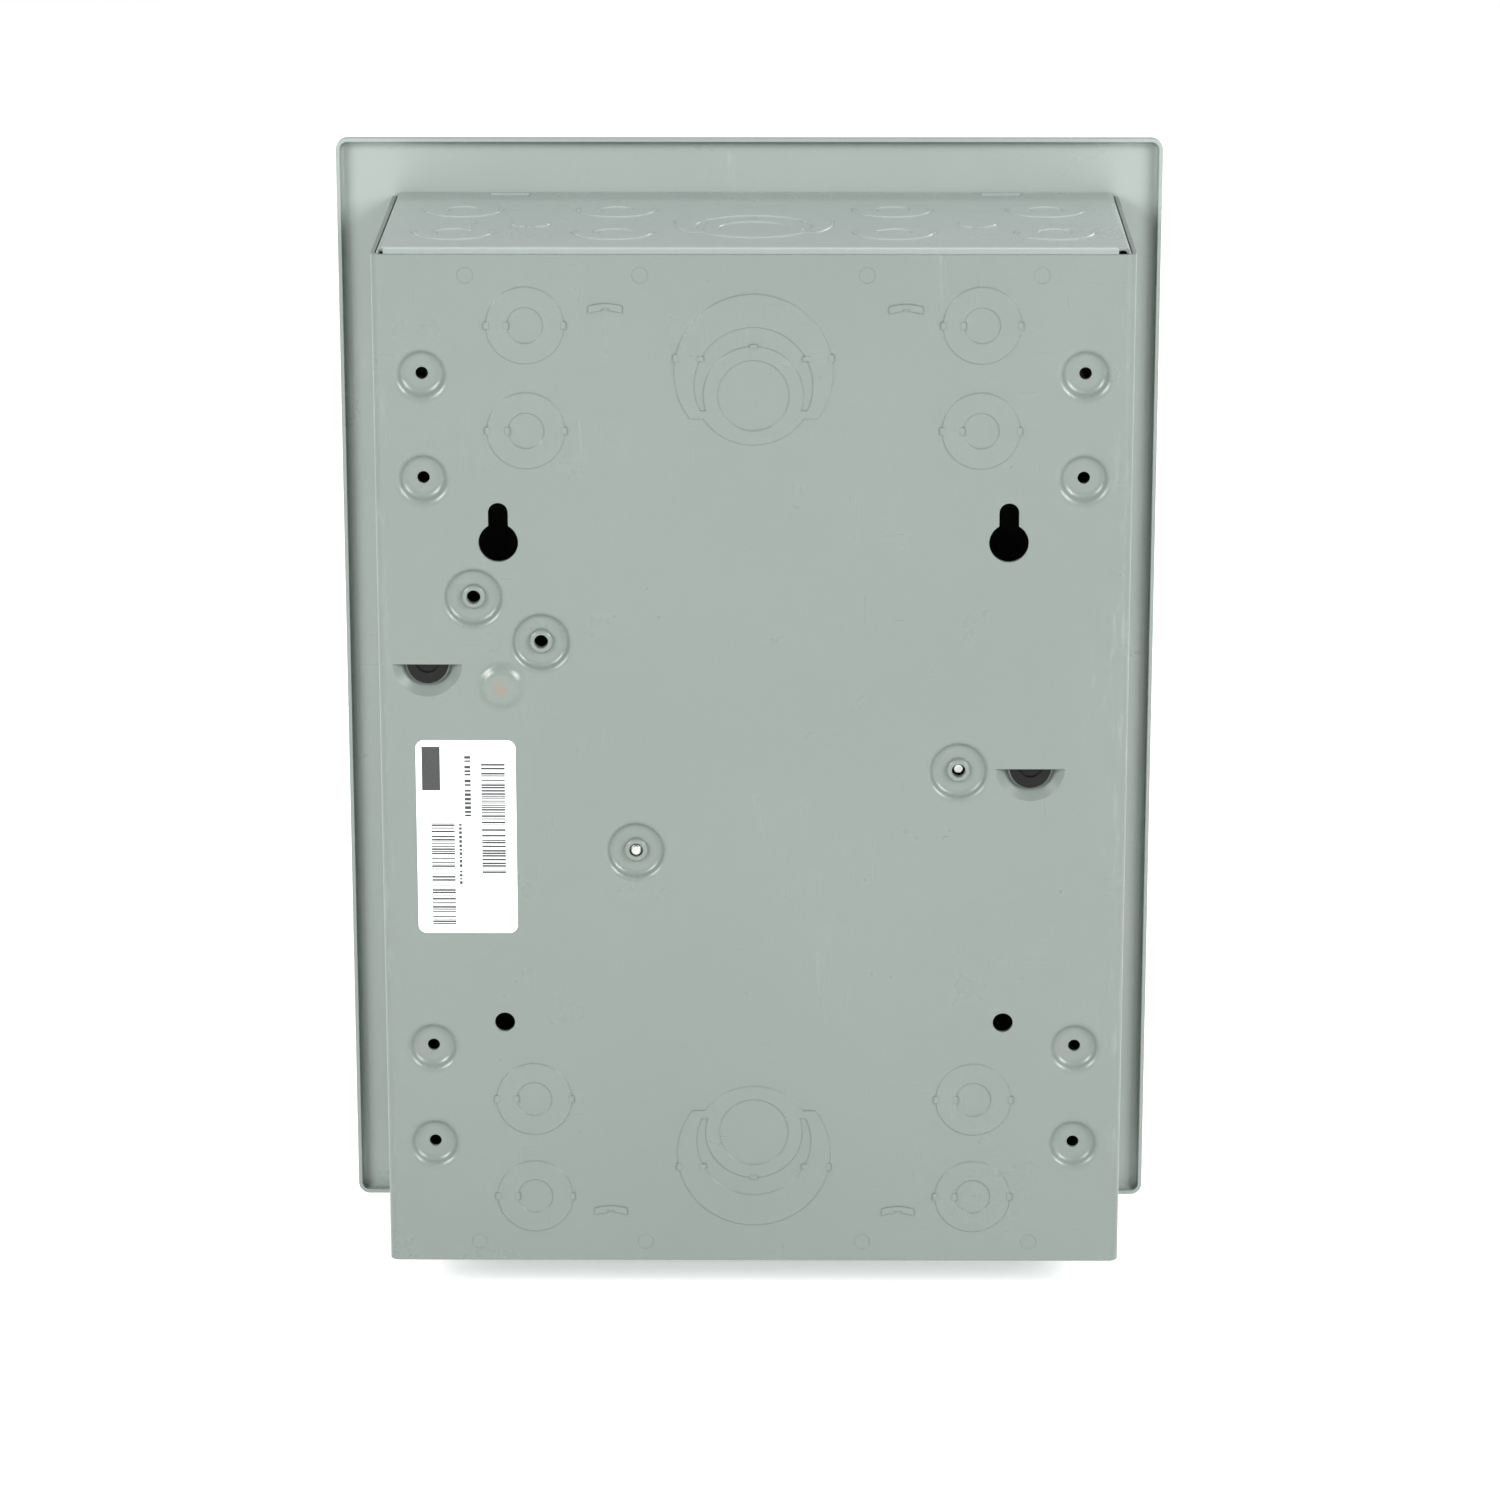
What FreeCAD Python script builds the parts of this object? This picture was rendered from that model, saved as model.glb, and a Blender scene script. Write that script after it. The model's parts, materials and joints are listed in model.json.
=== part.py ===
import FreeCAD, Part
import math
import os
from FreeCAD import Matrix, Vector

# Flush residential load center. Millimetres, +Z up, the front faces -Y and the back lies in the plane y = 0.
# The origin is the centre of the back face. A "depth" is a distance in front of the back plane, so y = -depth.

# ---- driving dimensions: enclosure -----------------------------------------------------------------------------------
SHEET = 1.2                     # steel sheet thickness
BOX_W = 225.6                   # outside width of the box
BOX_H = 319.3                   # outside height of the box
BOX_D = 96.5                    # depth of the box, back plane to front edge
WRAPPER_H = 316.4               # height of the bent wrapper, a little less than the box
WRAPPER_BEND = 3.0              # outside radius of the wrapper's two back bends
FRONT_BEND = 2.2
FRONT_FLANGE = 12.8             # width of the flanges that turn in at the front
FRONT_FLANGE_H = 290.0
TRAY_GAP = 0.15                 # side gap between an end tray and the wrapper
TRAY_FLANGE_Z = 145.0           # where the end trays' flanges stop
RELIEFS = ((-1, 3.9, 5.1, 1.3), (1, 2.3, 4.3, 0.7))     # corner reliefs: side, width, depth, corner radius
TRAY_BACK_BEND = 4.0
TRAY_SIDE_BEND = 2.4
TRAY_BACK_DEPTH = SHEET         # the tray's back flange lies on the wrapper's back

# ---- driving dimensions: features of the sheets ----------------------------------------------------------------------
KO_RAISE = 0.35                 # a knockout stands out of its sheet by this much
KO_HALF_R = 11.4                # half-inch knockout
KO_CORE_R = 5.55                # its small centre slug
KO_X = 67.5
KO_Z = (105.2, 137.0)
SERVICE_Z = 115.9               # service knockout: centre of its smallest ring
SERVICE_R = (10.8, 14.7, 17.8, 23.4)
SERVICE_SHIFT = (0.0, 0.0, 2.95, 7.0)
SERVICE_STEP = (-4.6, -7.0)
STEP_SLOPE = 0.35               # width of the sloped edge round a raised zone
TIE_SIZE = (1.5, 2.2)
TIE_PROUD = 0.45
WALL_HOLE_X = 76.2
WALL_HOLE_Z = 80.2
WALL_HOLE_R = 3.05
KEYHOLE_BULB_Z = 71.0
KEYHOLE_BULB_R = 5.9
KEYHOLE_SLOT_R = 2.95
SIDE_DIMPLE_X = 98.3
SIDE_DIMPLE_Z = (122.2, 90.5, -88.3, -119.6)
DIMPLE_R = 8.8
DIMPLE_FLOOR_R = 4.5
DIMPLE_DEPTH = 2.3
PILOT_R = 1.85
COLLAR_POINTS = ((83.9, 54.0), (63.8, 40.2))
BOND_X, BOND_Z = -61.9, 0.0
FIXING_X, FIXING_Z = 35.7, -25.3
COLLAR_DIMPLE_R = 10.0
COLLAR_FLOOR_R = 6.6
COLLAR_DEPTH = 2.0
COLLAR_HOLE_R = 2.05
COLLAR_R = 3.45
COLLAR_H = 1.5
WELD_BUMP = (75.9, 26.3)
BUMP_H = 1.5
LANCES = ((98.0, 33.3), (-83.6, 0.7))
LANCE_A, LANCE_B = 10.5, 10.0
LANCE_FLOOR_A, LANCE_FLOOR_B = 6.9, 6.7
LANCE_DEPTH = 3.1
LANCE_HOLE = 5.0
EYEBROWS = ((43.7, 142.6), (-45.0, 142.4), (44.2, -141.2), (-44.5, -141.3))
LABEL_X = (71.9, 102.1)
LABEL_Z = (-51.5, 9.6)
LABEL_T = 0.14
LABEL_SINK = 0.15               # the label lies in a shallow coined field
WELD_X = (33.5, 85.0)
WELD_Z = 152.0
END_KO = ((88.8, 63.5), (42.0, 63.5), (90.0, 27.0), (42.0, 27.0))
END_SMALL_KO = (67.2, 41.0)
END_SERVICE_DEPTH = 33.5
TAB_X, TAB_DEPTH = 76.0, 90.0
NAIL_HOLE_DEPTH, NAIL_HOLE_Z, NAIL_HOLE_R = 80.0, 110.0, 2.4

# ---- driving dimensions: cover ---------------------------------------------------------------------------------------
COVER_W, COVER_H = 256.3, 348.5
COVER_SHIFT_X, COVER_SHIFT_Z = 1.9, 2.6
COVER_RETURN = 3.5              # how far the cover's edge turns back
COVER_CORNER = 3.6
COVER_BEND = 2.6
COVER_SCREW_X, COVER_SCREW_Z = 60.0, 152.3
COVER_HOLE_R = 2.6
TWIST_SLIT = 0.7
TWIST_TIE = 3.0

# ---- driving dimensions: interior and breakers -----------------------------------------------------------------------
PITCH = 25.4                    # one breaker space
ROWS = 4
FIELD_TOP = 38.8
DECK_FRONT = 32.0
DECK_BACK = 28.0
BASE_BACK = 9.0
BUS_T = 3.0
BUS_X0, BUS_X1 = 17.0, 29.0
STAB_TOP = 54.0
POLE_W = 25.0
POLE_WALL = 2.2
NOSE_A0, NOSE_A1, NOSE_TOP = 20.0, 60.0, 100.5
WINDOW_GAP = 0.5
HANDLE_A, HANDLE_D = 40.0, 90.0
HANDLE_R = 10.6
HANDLE_REST = 20.0              # degrees from upright, in the OFF position
ARM_A, ARM_D = 44.0, 72.0
ARM_REST = 16.0                 # degrees that the contact arm is lifted in the OFF position
PIN_FIT = 0.07                  # radial clearance of a trunnion in its bore
RIVETS = ((10.0, 77.5), (28.0, 51.0), (60.0, 51.0), (54.6, 94.0))
RIVET_SINK = 0.85               # depth of the pocket round a rivet's head

# pole name: (side, row), side +1 right and -1 left as seen from the front
POLES = {"pole_1": (-1, 0), "pole_2": (-1, 1), "pole_3": (-1, 2), "pole_4": (1, 0), "pole_5": (1, 1)}
SPARE_SPACES = ((-1, 3), (1, 2), (1, 3))

HALF_W = BOX_W / 2
DEPTH_AXIS = Vector(0, -1, 0)


# ---- helpers ---------------------------------------------------------------------------------------------------------
def row_z(row):
    """Height of a breaker row's centre."""
    return FIELD_TOP - PITCH * (row + 0.5)


def block(x0, x1, d0, d1, z0, z1):
    """Box between two X, two depths and two heights."""
    return Part.makeBox(x1 - x0, d1 - d0, z1 - z0, Vector(x0, -d1, z0))


def peg(x, z, radius, d0, d1):
    """Round bar along the depth."""
    return Part.makeCylinder(radius, d1 - d0, Vector(x, -d0, z), DEPTH_AXIS)


def bar_z(x, depth, radius, z0, z1):
    """Round bar along Z."""
    return Part.makeCylinder(radius, z1 - z0, Vector(x, -depth, z0))


def bar_x(depth, z, radius, x0, x1):
    """Round bar along X."""
    return Part.makeCylinder(radius, x1 - x0, Vector(x0, -depth, z), Vector(1, 0, 0))


def rounded_wire(corners, put):
    """Closed wire through corners (a, b, radius), each corner rounded; put turns (a, b) into a point in space."""
    spots = [Vector(c[0], c[1], 0) for c in corners]
    radii = [c[2] if len(c) > 2 else 0.0 for c in corners]
    starts, middles, ends = [], [], []
    for i, spot in enumerate(spots):
        back = (spots[i - 1] - spot).normalize()
        ahead = (spots[(i + 1) % len(spots)] - spot).normalize()
        if radii[i] == 0:
            starts.append(spot)
            middles.append(None)
            ends.append(spot)
            continue
        half = back.getAngle(ahead) / 2
        towards = (back + ahead).normalize()
        starts.append(spot + back * (radii[i] / math.tan(half)))
        ends.append(spot + ahead * (radii[i] / math.tan(half)))
        middles.append(spot + towards * (radii[i] / math.sin(half) - radii[i]))
    edges = []
    for i, middle in enumerate(middles):
        if middle is not None:
            edges.append(Part.Arc(put(starts[i]), put(middle), put(ends[i])).toShape())
        following = starts[(i + 1) % len(spots)]
        if (following - ends[i]).Length > 1e-6:
            edges.append(Part.LineSegment(put(ends[i]), put(following)).toShape())
    return Part.Wire(edges)


def slab(corners, z0, z1):
    """Prism of an outline in (x, depth), between two heights."""
    face = Part.Face(rounded_wire(corners, lambda p: Vector(p.x, -p.y, z0)))
    return face.extrude(Vector(0, 0, z1 - z0))


def plate(corners, d0, d1):
    """Prism of an outline in (x, z), between two depths."""
    face = Part.Face(rounded_wire(corners, lambda p: Vector(p.x, -d0, p.y)))
    return face.extrude(Vector(0, d0 - d1, 0))


def strip(corners, x0, x1):
    """Prism of an outline in (depth, z), between two X."""
    face = Part.Face(rounded_wire(corners, lambda p: Vector(x0, -p.x, p.y)))
    return face.extrude(Vector(x1 - x0, 0, 0))


def rectangle(a0, a1, b0, b1, radius=0.0):
    return [(a0, b0, radius), (a1, b0, radius), (a1, b1, radius), (a0, b1, radius)]


def mirror_x(shape):
    return shape.mirror(Vector(0, 0, 0), Vector(1, 0, 0))


def solid(shape):
    """The single clean solid of a boolean result."""
    clean = shape.removeSplitter()
    if len(clean.Solids) != 1:
        raise ValueError("expected one solid, got %d" % len(clean.Solids))
    return clean.Solids[0]


# ---- pressed features, built on a local panel: outer face in z = 0, sheet from z = -SHEET, +z outwards ---------------
def on_back(shape, x, z):
    """Move a local feature to the box's back, with the feature's +y up."""
    return shape.transformed(Matrix(-1, 0, 0, x, 0, 0, 1, 0, 0, 1, 0, z, 0, 0, 0, 1))


def on_top(shape, x, depth):
    """Move a local feature to the box's top wall, with the feature's +y to the front."""
    return shape.transformed(Matrix(-1, 0, 0, x, 0, -1, 0, -depth, 0, 0, 1, BOX_H / 2, 0, 0, 0, 1))


def raised(make_zone):
    """A zone that is cut out of the sheet and stands out of it by KO_RAISE, as a (cutter, filler) pair."""
    return make_zone(-SHEET - 1, 1), make_zone(KO_RAISE - SHEET, KO_RAISE)


def tie(x, y, along_x=True):
    """Small bridge that holds a knockout's ring."""
    a, b = (TIE_SIZE if along_x else TIE_SIZE[::-1])
    return Part.makeBox(a, b, SHEET + TIE_PROUD, Vector(x - a / 2, y - b / 2, -SHEET))


def disc(radius, lo, hi, y=0.0):
    return Part.makeCylinder(radius, hi - lo, Vector(0, y, lo))


def slope_outside(radius, y=0.0):
    """Sloped edge that lies on the sheet round a raised disc."""
    cone = Part.makeCone(radius + STEP_SLOPE, radius, KO_RAISE, Vector(0, y, 0))
    return cone.cut(disc(radius - 0.2, -1, 1, y))


def slope_inside(radius, y=0.0):
    """Sloped edge that lies on the sheet inside a raised ring."""
    cone = Part.makeCone(radius - STEP_SLOPE, radius, KO_RAISE, Vector(0, y, 0))
    return disc(radius + 0.2, 0, KO_RAISE, y).cut(cone)


def half_inch_knockout():
    """Round ring knockout with a small centre slug."""
    cutter, filler = raised(lambda lo, hi: disc(KO_HALF_R, lo, hi).cut(disc(KO_CORE_R, lo, hi)))
    filler = filler.fuse([slope_outside(KO_HALF_R), slope_inside(KO_CORE_R)])
    ties = [tie(-KO_HALF_R, 0), tie(KO_HALF_R, 0), tie(-KO_CORE_R, 0)]
    return cutter, filler.fuse(ties)


def single_knockout():
    """Small round knockout without rings."""
    cutter, filler = raised(lambda lo, hi: disc(KO_CORE_R, lo, hi))
    filler = filler.fuse(slope_outside(KO_CORE_R))
    return cutter, filler.fuse(tie(0, -KO_CORE_R, False))


def service_knockout():
    """Four nested rings that touch at the bottom, for the service conduit."""
    inner, second, third, outer = SERVICE_R
    reach = 60.0

    def above(y, lo, hi):
        return Part.makeBox(reach, reach, hi - lo, Vector(-reach / 2, y, lo))

    def crescent(lo, hi):
        ring = disc(outer, lo, hi, SERVICE_SHIFT[3]).cut(disc(third, lo, hi, SERVICE_SHIFT[2]))
        return ring.common(above(SERVICE_STEP[1], lo, hi))

    def collar(lo, hi):
        upper = disc(second, lo, hi).common(above(SERVICE_STEP[0], lo, hi))
        lower = disc(third, lo, hi, SERVICE_SHIFT[2]).cut(above(SERVICE_STEP[0], lo, hi))
        return upper.fuse(lower).cut(disc(inner, lo, hi))

    cut_a, fill_a = raised(crescent)
    cut_b, fill_b = raised(collar)
    tie_y = SERVICE_SHIFT[3] + 4.3
    tie_x = math.sqrt(outer ** 2 - 4.3 ** 2)
    ties = [tie(-tie_x, tie_y), tie(tie_x, tie_y), tie(0, second, False)]
    third_y = SERVICE_SHIFT[2] + 8.2
    third_x = math.sqrt(third ** 2 - 8.2 ** 2)
    ties += [tie(-third_x, third_y, False), tie(third_x, third_y, False)]
    upper_part, top_part = above(SERVICE_STEP[0], -1, 1), above(SERVICE_STEP[1], -1, 1)
    slopes = [slope_outside(outer, SERVICE_SHIFT[3]).common(top_part),
              slope_inside(third, SERVICE_SHIFT[2]).common(top_part), slope_inside(inner),
              slope_outside(second).common(upper_part), slope_outside(third, SERVICE_SHIFT[2]).cut(top_part)]
    return cut_a.fuse(cut_b), fill_a.fuse([fill_b] + slopes + ties)


def s_curve(r0, r1, height, drop):
    """Edges of a smooth ramp in the XZ plane from (r0, -height) to (r1, 0), lowered by drop: two tangent arcs."""
    run = r1 - r0
    radius = (run ** 2 + height ** 2) / (4 * abs(height))
    turn = math.atan(abs(height) / run)
    sign = 1 if height > 0 else -1
    shift, sink = radius * math.sin(turn), radius * (1 - math.cos(turn)) * sign
    start, end = Vector(r0, 0, -height - drop), Vector(r1, 0, -drop)
    middle = (start + end) / 2
    low = Part.Arc(start, start + Vector(shift, 0, sink), middle).toShape()
    high = Part.Arc(middle, end - Vector(shift, 0, sink), end).toShape()
    return low, high


def cup(radius, floor_radius, depth, hole_radius):
    """Round dimple with smooth flanks; a negative depth makes a dome."""
    outer_a, outer_b = s_curve(floor_radius, radius, depth, 0)
    inner_a, inner_b = s_curve(floor_radius, radius, depth, SHEET)
    corner = [Vector(hole_radius, 0, -depth), Vector(hole_radius, 0, -depth - SHEET)]
    outer_floor = Part.LineSegment(corner[0], Vector(floor_radius, 0, -depth)).toShape()
    inner_floor = Part.LineSegment(corner[1], Vector(floor_radius, 0, -depth - SHEET)).toShape()
    rim = Part.LineSegment(Vector(radius, 0, 0), Vector(radius, 0, -SHEET)).toShape()
    edges = [outer_floor, outer_a, outer_b, rim, inner_b, inner_a, inner_floor]
    edges.append(Part.LineSegment(corner[0], corner[1]).toShape())
    wire = Part.Wire(Part.__sortEdges__(edges))
    filler = Part.Face(wire).revolve(Vector(0, 0, 0), Vector(0, 0, 1), 360)
    return disc(radius, -SHEET - 1, 1), filler


def collared_cup():
    """Dimple with a drawn collar that a thread-forming screw bites in; the collar stays behind the back plane."""
    cutter, filler = cup(COLLAR_DIMPLE_R, COLLAR_FLOOR_R, COLLAR_DEPTH, COLLAR_HOLE_R)
    top = COLLAR_H - COLLAR_DEPTH
    lip = rounded_wire([(COLLAR_HOLE_R, -COLLAR_DEPTH - SHEET / 2), (COLLAR_R + 0.5, -COLLAR_DEPTH - SHEET / 2),
                        (COLLAR_R, top, 0.9), (COLLAR_HOLE_R, top, 0.3)], lambda p: Vector(p.x, 0, p.y))
    ring = Part.Face(lip).revolve(Vector(0, 0, 0), Vector(0, 0, 1), 360)
    return cutter, filler.fuse(ring)


def half_moon(a, b, level):
    """Wire of a half-moon with its straight edge on y = 0 and its round side down."""
    left, low, right = Vector(-a, 0, level), Vector(0, -b, level), Vector(a, 0, level)
    return Part.Wire([Part.Arc(left, low, right).toShape(), Part.LineSegment(right, left).toShape()])


def half_moon_prism(a, b, lo, hi):
    return Part.Face(half_moon(a, b, lo)).extrude(Vector(0, 0, hi - lo))


def half_moon_lance():
    """Half-round dish pressed inwards below a straight cut, with a half-round hole in its floor."""
    def dish(level):
        wires = [half_moon(LANCE_A, LANCE_B, level), half_moon(LANCE_FLOOR_A, LANCE_FLOOR_B, level - LANCE_DEPTH)]
        return Part.makeLoft(wires, True, True)

    metal = dish(-SHEET).fuse(half_moon_prism(LANCE_A, LANCE_B, -SHEET, 0)).cut(dish(0))
    hole = half_moon_prism(LANCE_HOLE, LANCE_HOLE, -LANCE_DEPTH - 2 * SHEET, 0)
    return half_moon_prism(LANCE_A, LANCE_B, -SHEET - 1, 1), metal.cut(hole)


def eyebrow():
    """Short arched bump with a nick in its middle."""
    def arch(lo, hi):
        ring = disc(17.0, lo, hi, -16.0).cut(disc(14.9, lo, hi, -16.0))
        return ring.common(Part.makeBox(10.0, 10.0, hi - lo, Vector(-5.0, -6.0, lo)))

    cutter, filler = raised(arch)
    nick = Part.makeBox(2.2, 0.8, SHEET, Vector(-1.1, -1.3, 0.05))
    return cutter, filler.cut(nick)


def apply_features(panel, features):
    """Cut every feature's cutter out of a sheet, then join every filler."""
    cut = panel.cut([cutter for cutter, _ in features])
    return cut.fuse([filler for _, filler in features if filler is not None])


def placed(pair, put, u, v):
    return put(pair[0], u, v), put(pair[1], u, v)


# ---- enclosure -------------------------------------------------------------------------------------------------------
def enclosure_wrapper():
    inner, lip = HALF_W - SHEET, HALF_W - FRONT_FLANGE
    profile = [(-lip, BOX_D), (-HALF_W, BOX_D, FRONT_BEND), (-HALF_W, 0, WRAPPER_BEND), (HALF_W, 0, WRAPPER_BEND),
               (HALF_W, BOX_D, FRONT_BEND), (lip, BOX_D), (lip, BOX_D - SHEET),
               (inner, BOX_D - SHEET, FRONT_BEND - SHEET), (inner, SHEET, WRAPPER_BEND - SHEET),
               (-inner, SHEET, WRAPPER_BEND - SHEET), (-inner, BOX_D - SHEET, FRONT_BEND - SHEET), (-lip, BOX_D - SHEET)]
    body = slab(profile, -WRAPPER_H / 2, WRAPPER_H / 2)
    for side in (-1, 1):
        for end in (-1, 1):
            z0, z1 = sorted((end * FRONT_FLANGE_H / 2, end * WRAPPER_H))
            x0, x1 = sorted((side * inner, side * (lip - 1)))
            body = body.cut(block(x0, x1, BOX_D - 2 * SHEET, BOX_D + 1, z0, z1))
        for end in (-1, 1):
            x0, x1 = sorted((side * (HALF_W + 1), side * (inner - 1)))
            body = body.cut(bar_x(NAIL_HOLE_DEPTH, end * NAIL_HOLE_Z, NAIL_HOLE_R, x0, x1))
    knockout, service, arch = half_inch_knockout(), service_knockout(), eyebrow()
    dimple, collar = cup(DIMPLE_R, DIMPLE_FLOOR_R, DIMPLE_DEPTH, PILOT_R), collared_cup()
    lance = half_moon_lance()
    upside_down = Matrix(1, 0, 0, 0, 0, -1, 0, 0, 0, 0, 1, 0, 0, 0, 0, 1)
    features = []
    for side in (-1, 1):
        for z in KO_Z:
            features += [placed(knockout, on_back, side * KO_X, end * z) for end in (-1, 1)]
        features += [placed(dimple, on_back, side * SIDE_DIMPLE_X, z) for z in SIDE_DIMPLE_Z]
    features.append(placed(service, on_back, 0, SERVICE_Z))
    features.append(placed([s.transformGeometry(upside_down) for s in service], on_back, 0, -SERVICE_Z))
    for x, z in COLLAR_POINTS + ((BOND_X, BOND_Z), (FIXING_X, FIXING_Z)):
        features.append(placed(collar, on_back, x, z))
    features += [placed(lance, on_back, x, z) for x, z in LANCES]
    features += [placed(arch, on_back, x, z) for x, z in EYEBROWS]
    dome = cup(8.2, 3.8, -BUMP_H, 0.6)
    plug = disc(0.7, BUMP_H - SHEET, BUMP_H)
    features.append(placed((dome[0], dome[1].fuse(plug)), on_back, *WELD_BUMP))
    body = apply_features(body, features)
    cuts = [plate(rectangle(*LABEL_X, *LABEL_Z, 2.5), -1, LABEL_SINK)]
    for side in (-1, 1):
        x = side * WALL_HOLE_X
        cuts += [peg(x, -WALL_HOLE_Z, WALL_HOLE_R, -2, 3), peg(x, WALL_HOLE_Z, KEYHOLE_SLOT_R, -2, 3),
                 peg(x, KEYHOLE_BULB_Z, KEYHOLE_BULB_R, -2, 3),
                 block(x - KEYHOLE_SLOT_R, x + KEYHOLE_SLOT_R, -2, 3, KEYHOLE_BULB_Z, WALL_HOLE_Z)]
        for weld_x in WELD_X:
            cuts += [peg(side * weld_x, end * WELD_Z, 2.4, -1, 0.12) for end in (-1, 1)]
    return solid(body.cut(cuts))


def end_wall():
    """The top tray; the bottom one is its mirror image."""
    half = HALF_W - SHEET - TRAY_GAP
    top, low = BOX_H / 2, TRAY_FLANGE_Z

    def pan(offset, floor):
        """Rounded block that shrinks inwards by offset."""
        rounds = [max(r - offset, 0.4) for r in (TRAY_BACK_BEND, FRONT_BEND, TRAY_SIDE_BEND)]
        across = strip([(TRAY_BACK_DEPTH + offset, floor), (TRAY_BACK_DEPTH + offset, top - offset, rounds[0]),
                        (BOX_D - offset, top - offset, rounds[1]), (BOX_D - offset, floor)], -half, half)
        side = Part.Face(rounded_wire([(-half + offset, floor), (-half + offset, top - offset, rounds[2]),
                                       (half - offset, top - offset, rounds[2]), (half - offset, floor)],
                                      lambda p: Vector(p.x, 0, p.y))).extrude(Vector(0, -BOX_D, 0))
        return across.common(side)

    tray = pan(0, low).cut(pan(SHEET, low - 1))
    for side, width, deep, corner in RELIEFS:
        notch = [(side * (half - width), -1), (side * (half - width), deep, corner),
                 (side * (half - 0.9), deep, corner), (side * (half - 0.9), 3.2), (side * (half + 1), 3.2),
                 (side * (half + 1), -1)]
        tray = tray.cut(slab(notch, low - 1, top + 1))
    features = []
    for x, depth in END_KO:
        features += [placed(half_inch_knockout(), on_top, side * x, depth) for side in (-1, 1)]
    features += [placed(single_knockout(), on_top, side * END_SMALL_KO[0], END_SMALL_KO[1]) for side in (-1, 1)]
    features.append(placed(service_knockout(), on_top, 0, END_SERVICE_DEPTH))
    tray = apply_features(tray, features)
    for side in (-1, 1):
        x = side * TAB_X
        tray = tray.cut(block(x - 6, x + 6, TAB_DEPTH - 1.3, TAB_DEPTH + 0.9, top - 3, top + 1))
        tray = tray.fuse(block(x - 6, x + 6, TAB_DEPTH + 0.2, TAB_DEPTH + 1.2, top - SHEET, top + 0.5))
        tray = tray.cut(peg(side * COVER_SCREW_X, COVER_SCREW_Z, 1.75, BOX_D - 2, BOX_D + 1))
    return solid(tray)


# ---- cover -----------------------------------------------------------------------------------------------------------
def space_outline(side, row, grow):
    """Rectangle (x0, x1, z0, z1) of one breaker space in the cover."""
    x0, x1 = sorted((side * (NOSE_A0 - grow), side * (NOSE_A1 + grow)))
    return x0, x1, row_z(row) - PITCH / 2, row_z(row) + PITCH / 2


def flush_cover():
    x0, x1 = COVER_SHIFT_X - COVER_W / 2, COVER_SHIFT_X + COVER_W / 2
    z0, z1 = COVER_SHIFT_Z - COVER_H / 2, COVER_SHIFT_Z + COVER_H / 2
    back, front = BOX_D - COVER_RETURN, BOX_D + SHEET

    def pan(offset, rear):
        body = plate(rectangle(x0 + offset, x1 - offset, z0 + offset, z1 - offset, COVER_CORNER - offset), rear,
                     front - offset)
        rim = [e for e in body.Edges if all(abs(v.Point.y + front - offset) < 1e-6 for v in e.Vertexes)]
        return body.makeFillet(COVER_BEND - offset, rim)

    cover = pan(0, back).cut(pan(SHEET, back - 5))
    for side, row in POLES.values():
        wx0, wx1, wz0, wz1 = space_outline(side, row, WINDOW_GAP)
        cover = cover.cut(block(wx0, wx1, BOX_D - 1, BOX_D + 3, wz0, wz1))
    for side, row in SPARE_SPACES:
        wx0, wx1, wz0, wz1 = space_outline(side, row, WINDOW_GAP)
        mid_x, mid_z = (wx0 + wx1) / 2, (wz0 + wz1) / 2
        frame = block(wx0, wx1, BOX_D - 1, BOX_D + 3, wz0 + 0.5, wz1 - 0.5)
        frame = frame.cut(block(wx0 + TWIST_SLIT, wx1 - TWIST_SLIT, BOX_D - 2, BOX_D + 4,
                                wz0 + 0.5 + TWIST_SLIT, wz1 - 0.5 - TWIST_SLIT))
        frame = frame.cut(block(wx0 - 1, wx1 + 1, BOX_D - 2, BOX_D + 4, mid_z - TWIST_TIE / 2, mid_z + TWIST_TIE / 2))
        cover = cover.cut(frame)
        cover = cover.cut(block(mid_x - 4.0, mid_x + 4.0, BOX_D - 1, BOX_D + 3, mid_z - 0.8, mid_z + 0.8))
    for side in (-1, 1):
        for end in (-1, 1):
            cover = cover.cut(peg(side * COVER_SCREW_X, end * COVER_SCREW_Z, COVER_HOLE_R, BOX_D - 1, BOX_D + 3))
    return solid(cover)


def pan_screw(x, z, seat, head_r, head_h, shank_r, tip):
    """Slotted pan-head screw: the head stands in front of depth seat, the pointed shank ends at depth tip."""
    head = Part.makeCylinder(head_r, head_h, Vector(x, -seat, z), DEPTH_AXIS)
    crown = [e for e in head.Edges if abs(e.BoundBox.YMax + seat + head_h) < 1e-6 and e.BoundBox.YLength < 1e-6]
    head = head.makeFillet(head_h * 0.45, crown)
    slot = block(x - head_r - 1, x + head_r + 1, seat + head_h * 0.5, seat + head_h + 1, z - 0.45, z + 0.45)
    cone = Part.makeCone(shank_r * 0.55, shank_r, shank_r, Vector(x, -tip, z), DEPTH_AXIS)
    shank = peg(x, z, shank_r, tip + shank_r, seat)
    return solid(head.cut(slot).fuse([shank, cone]))


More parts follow.
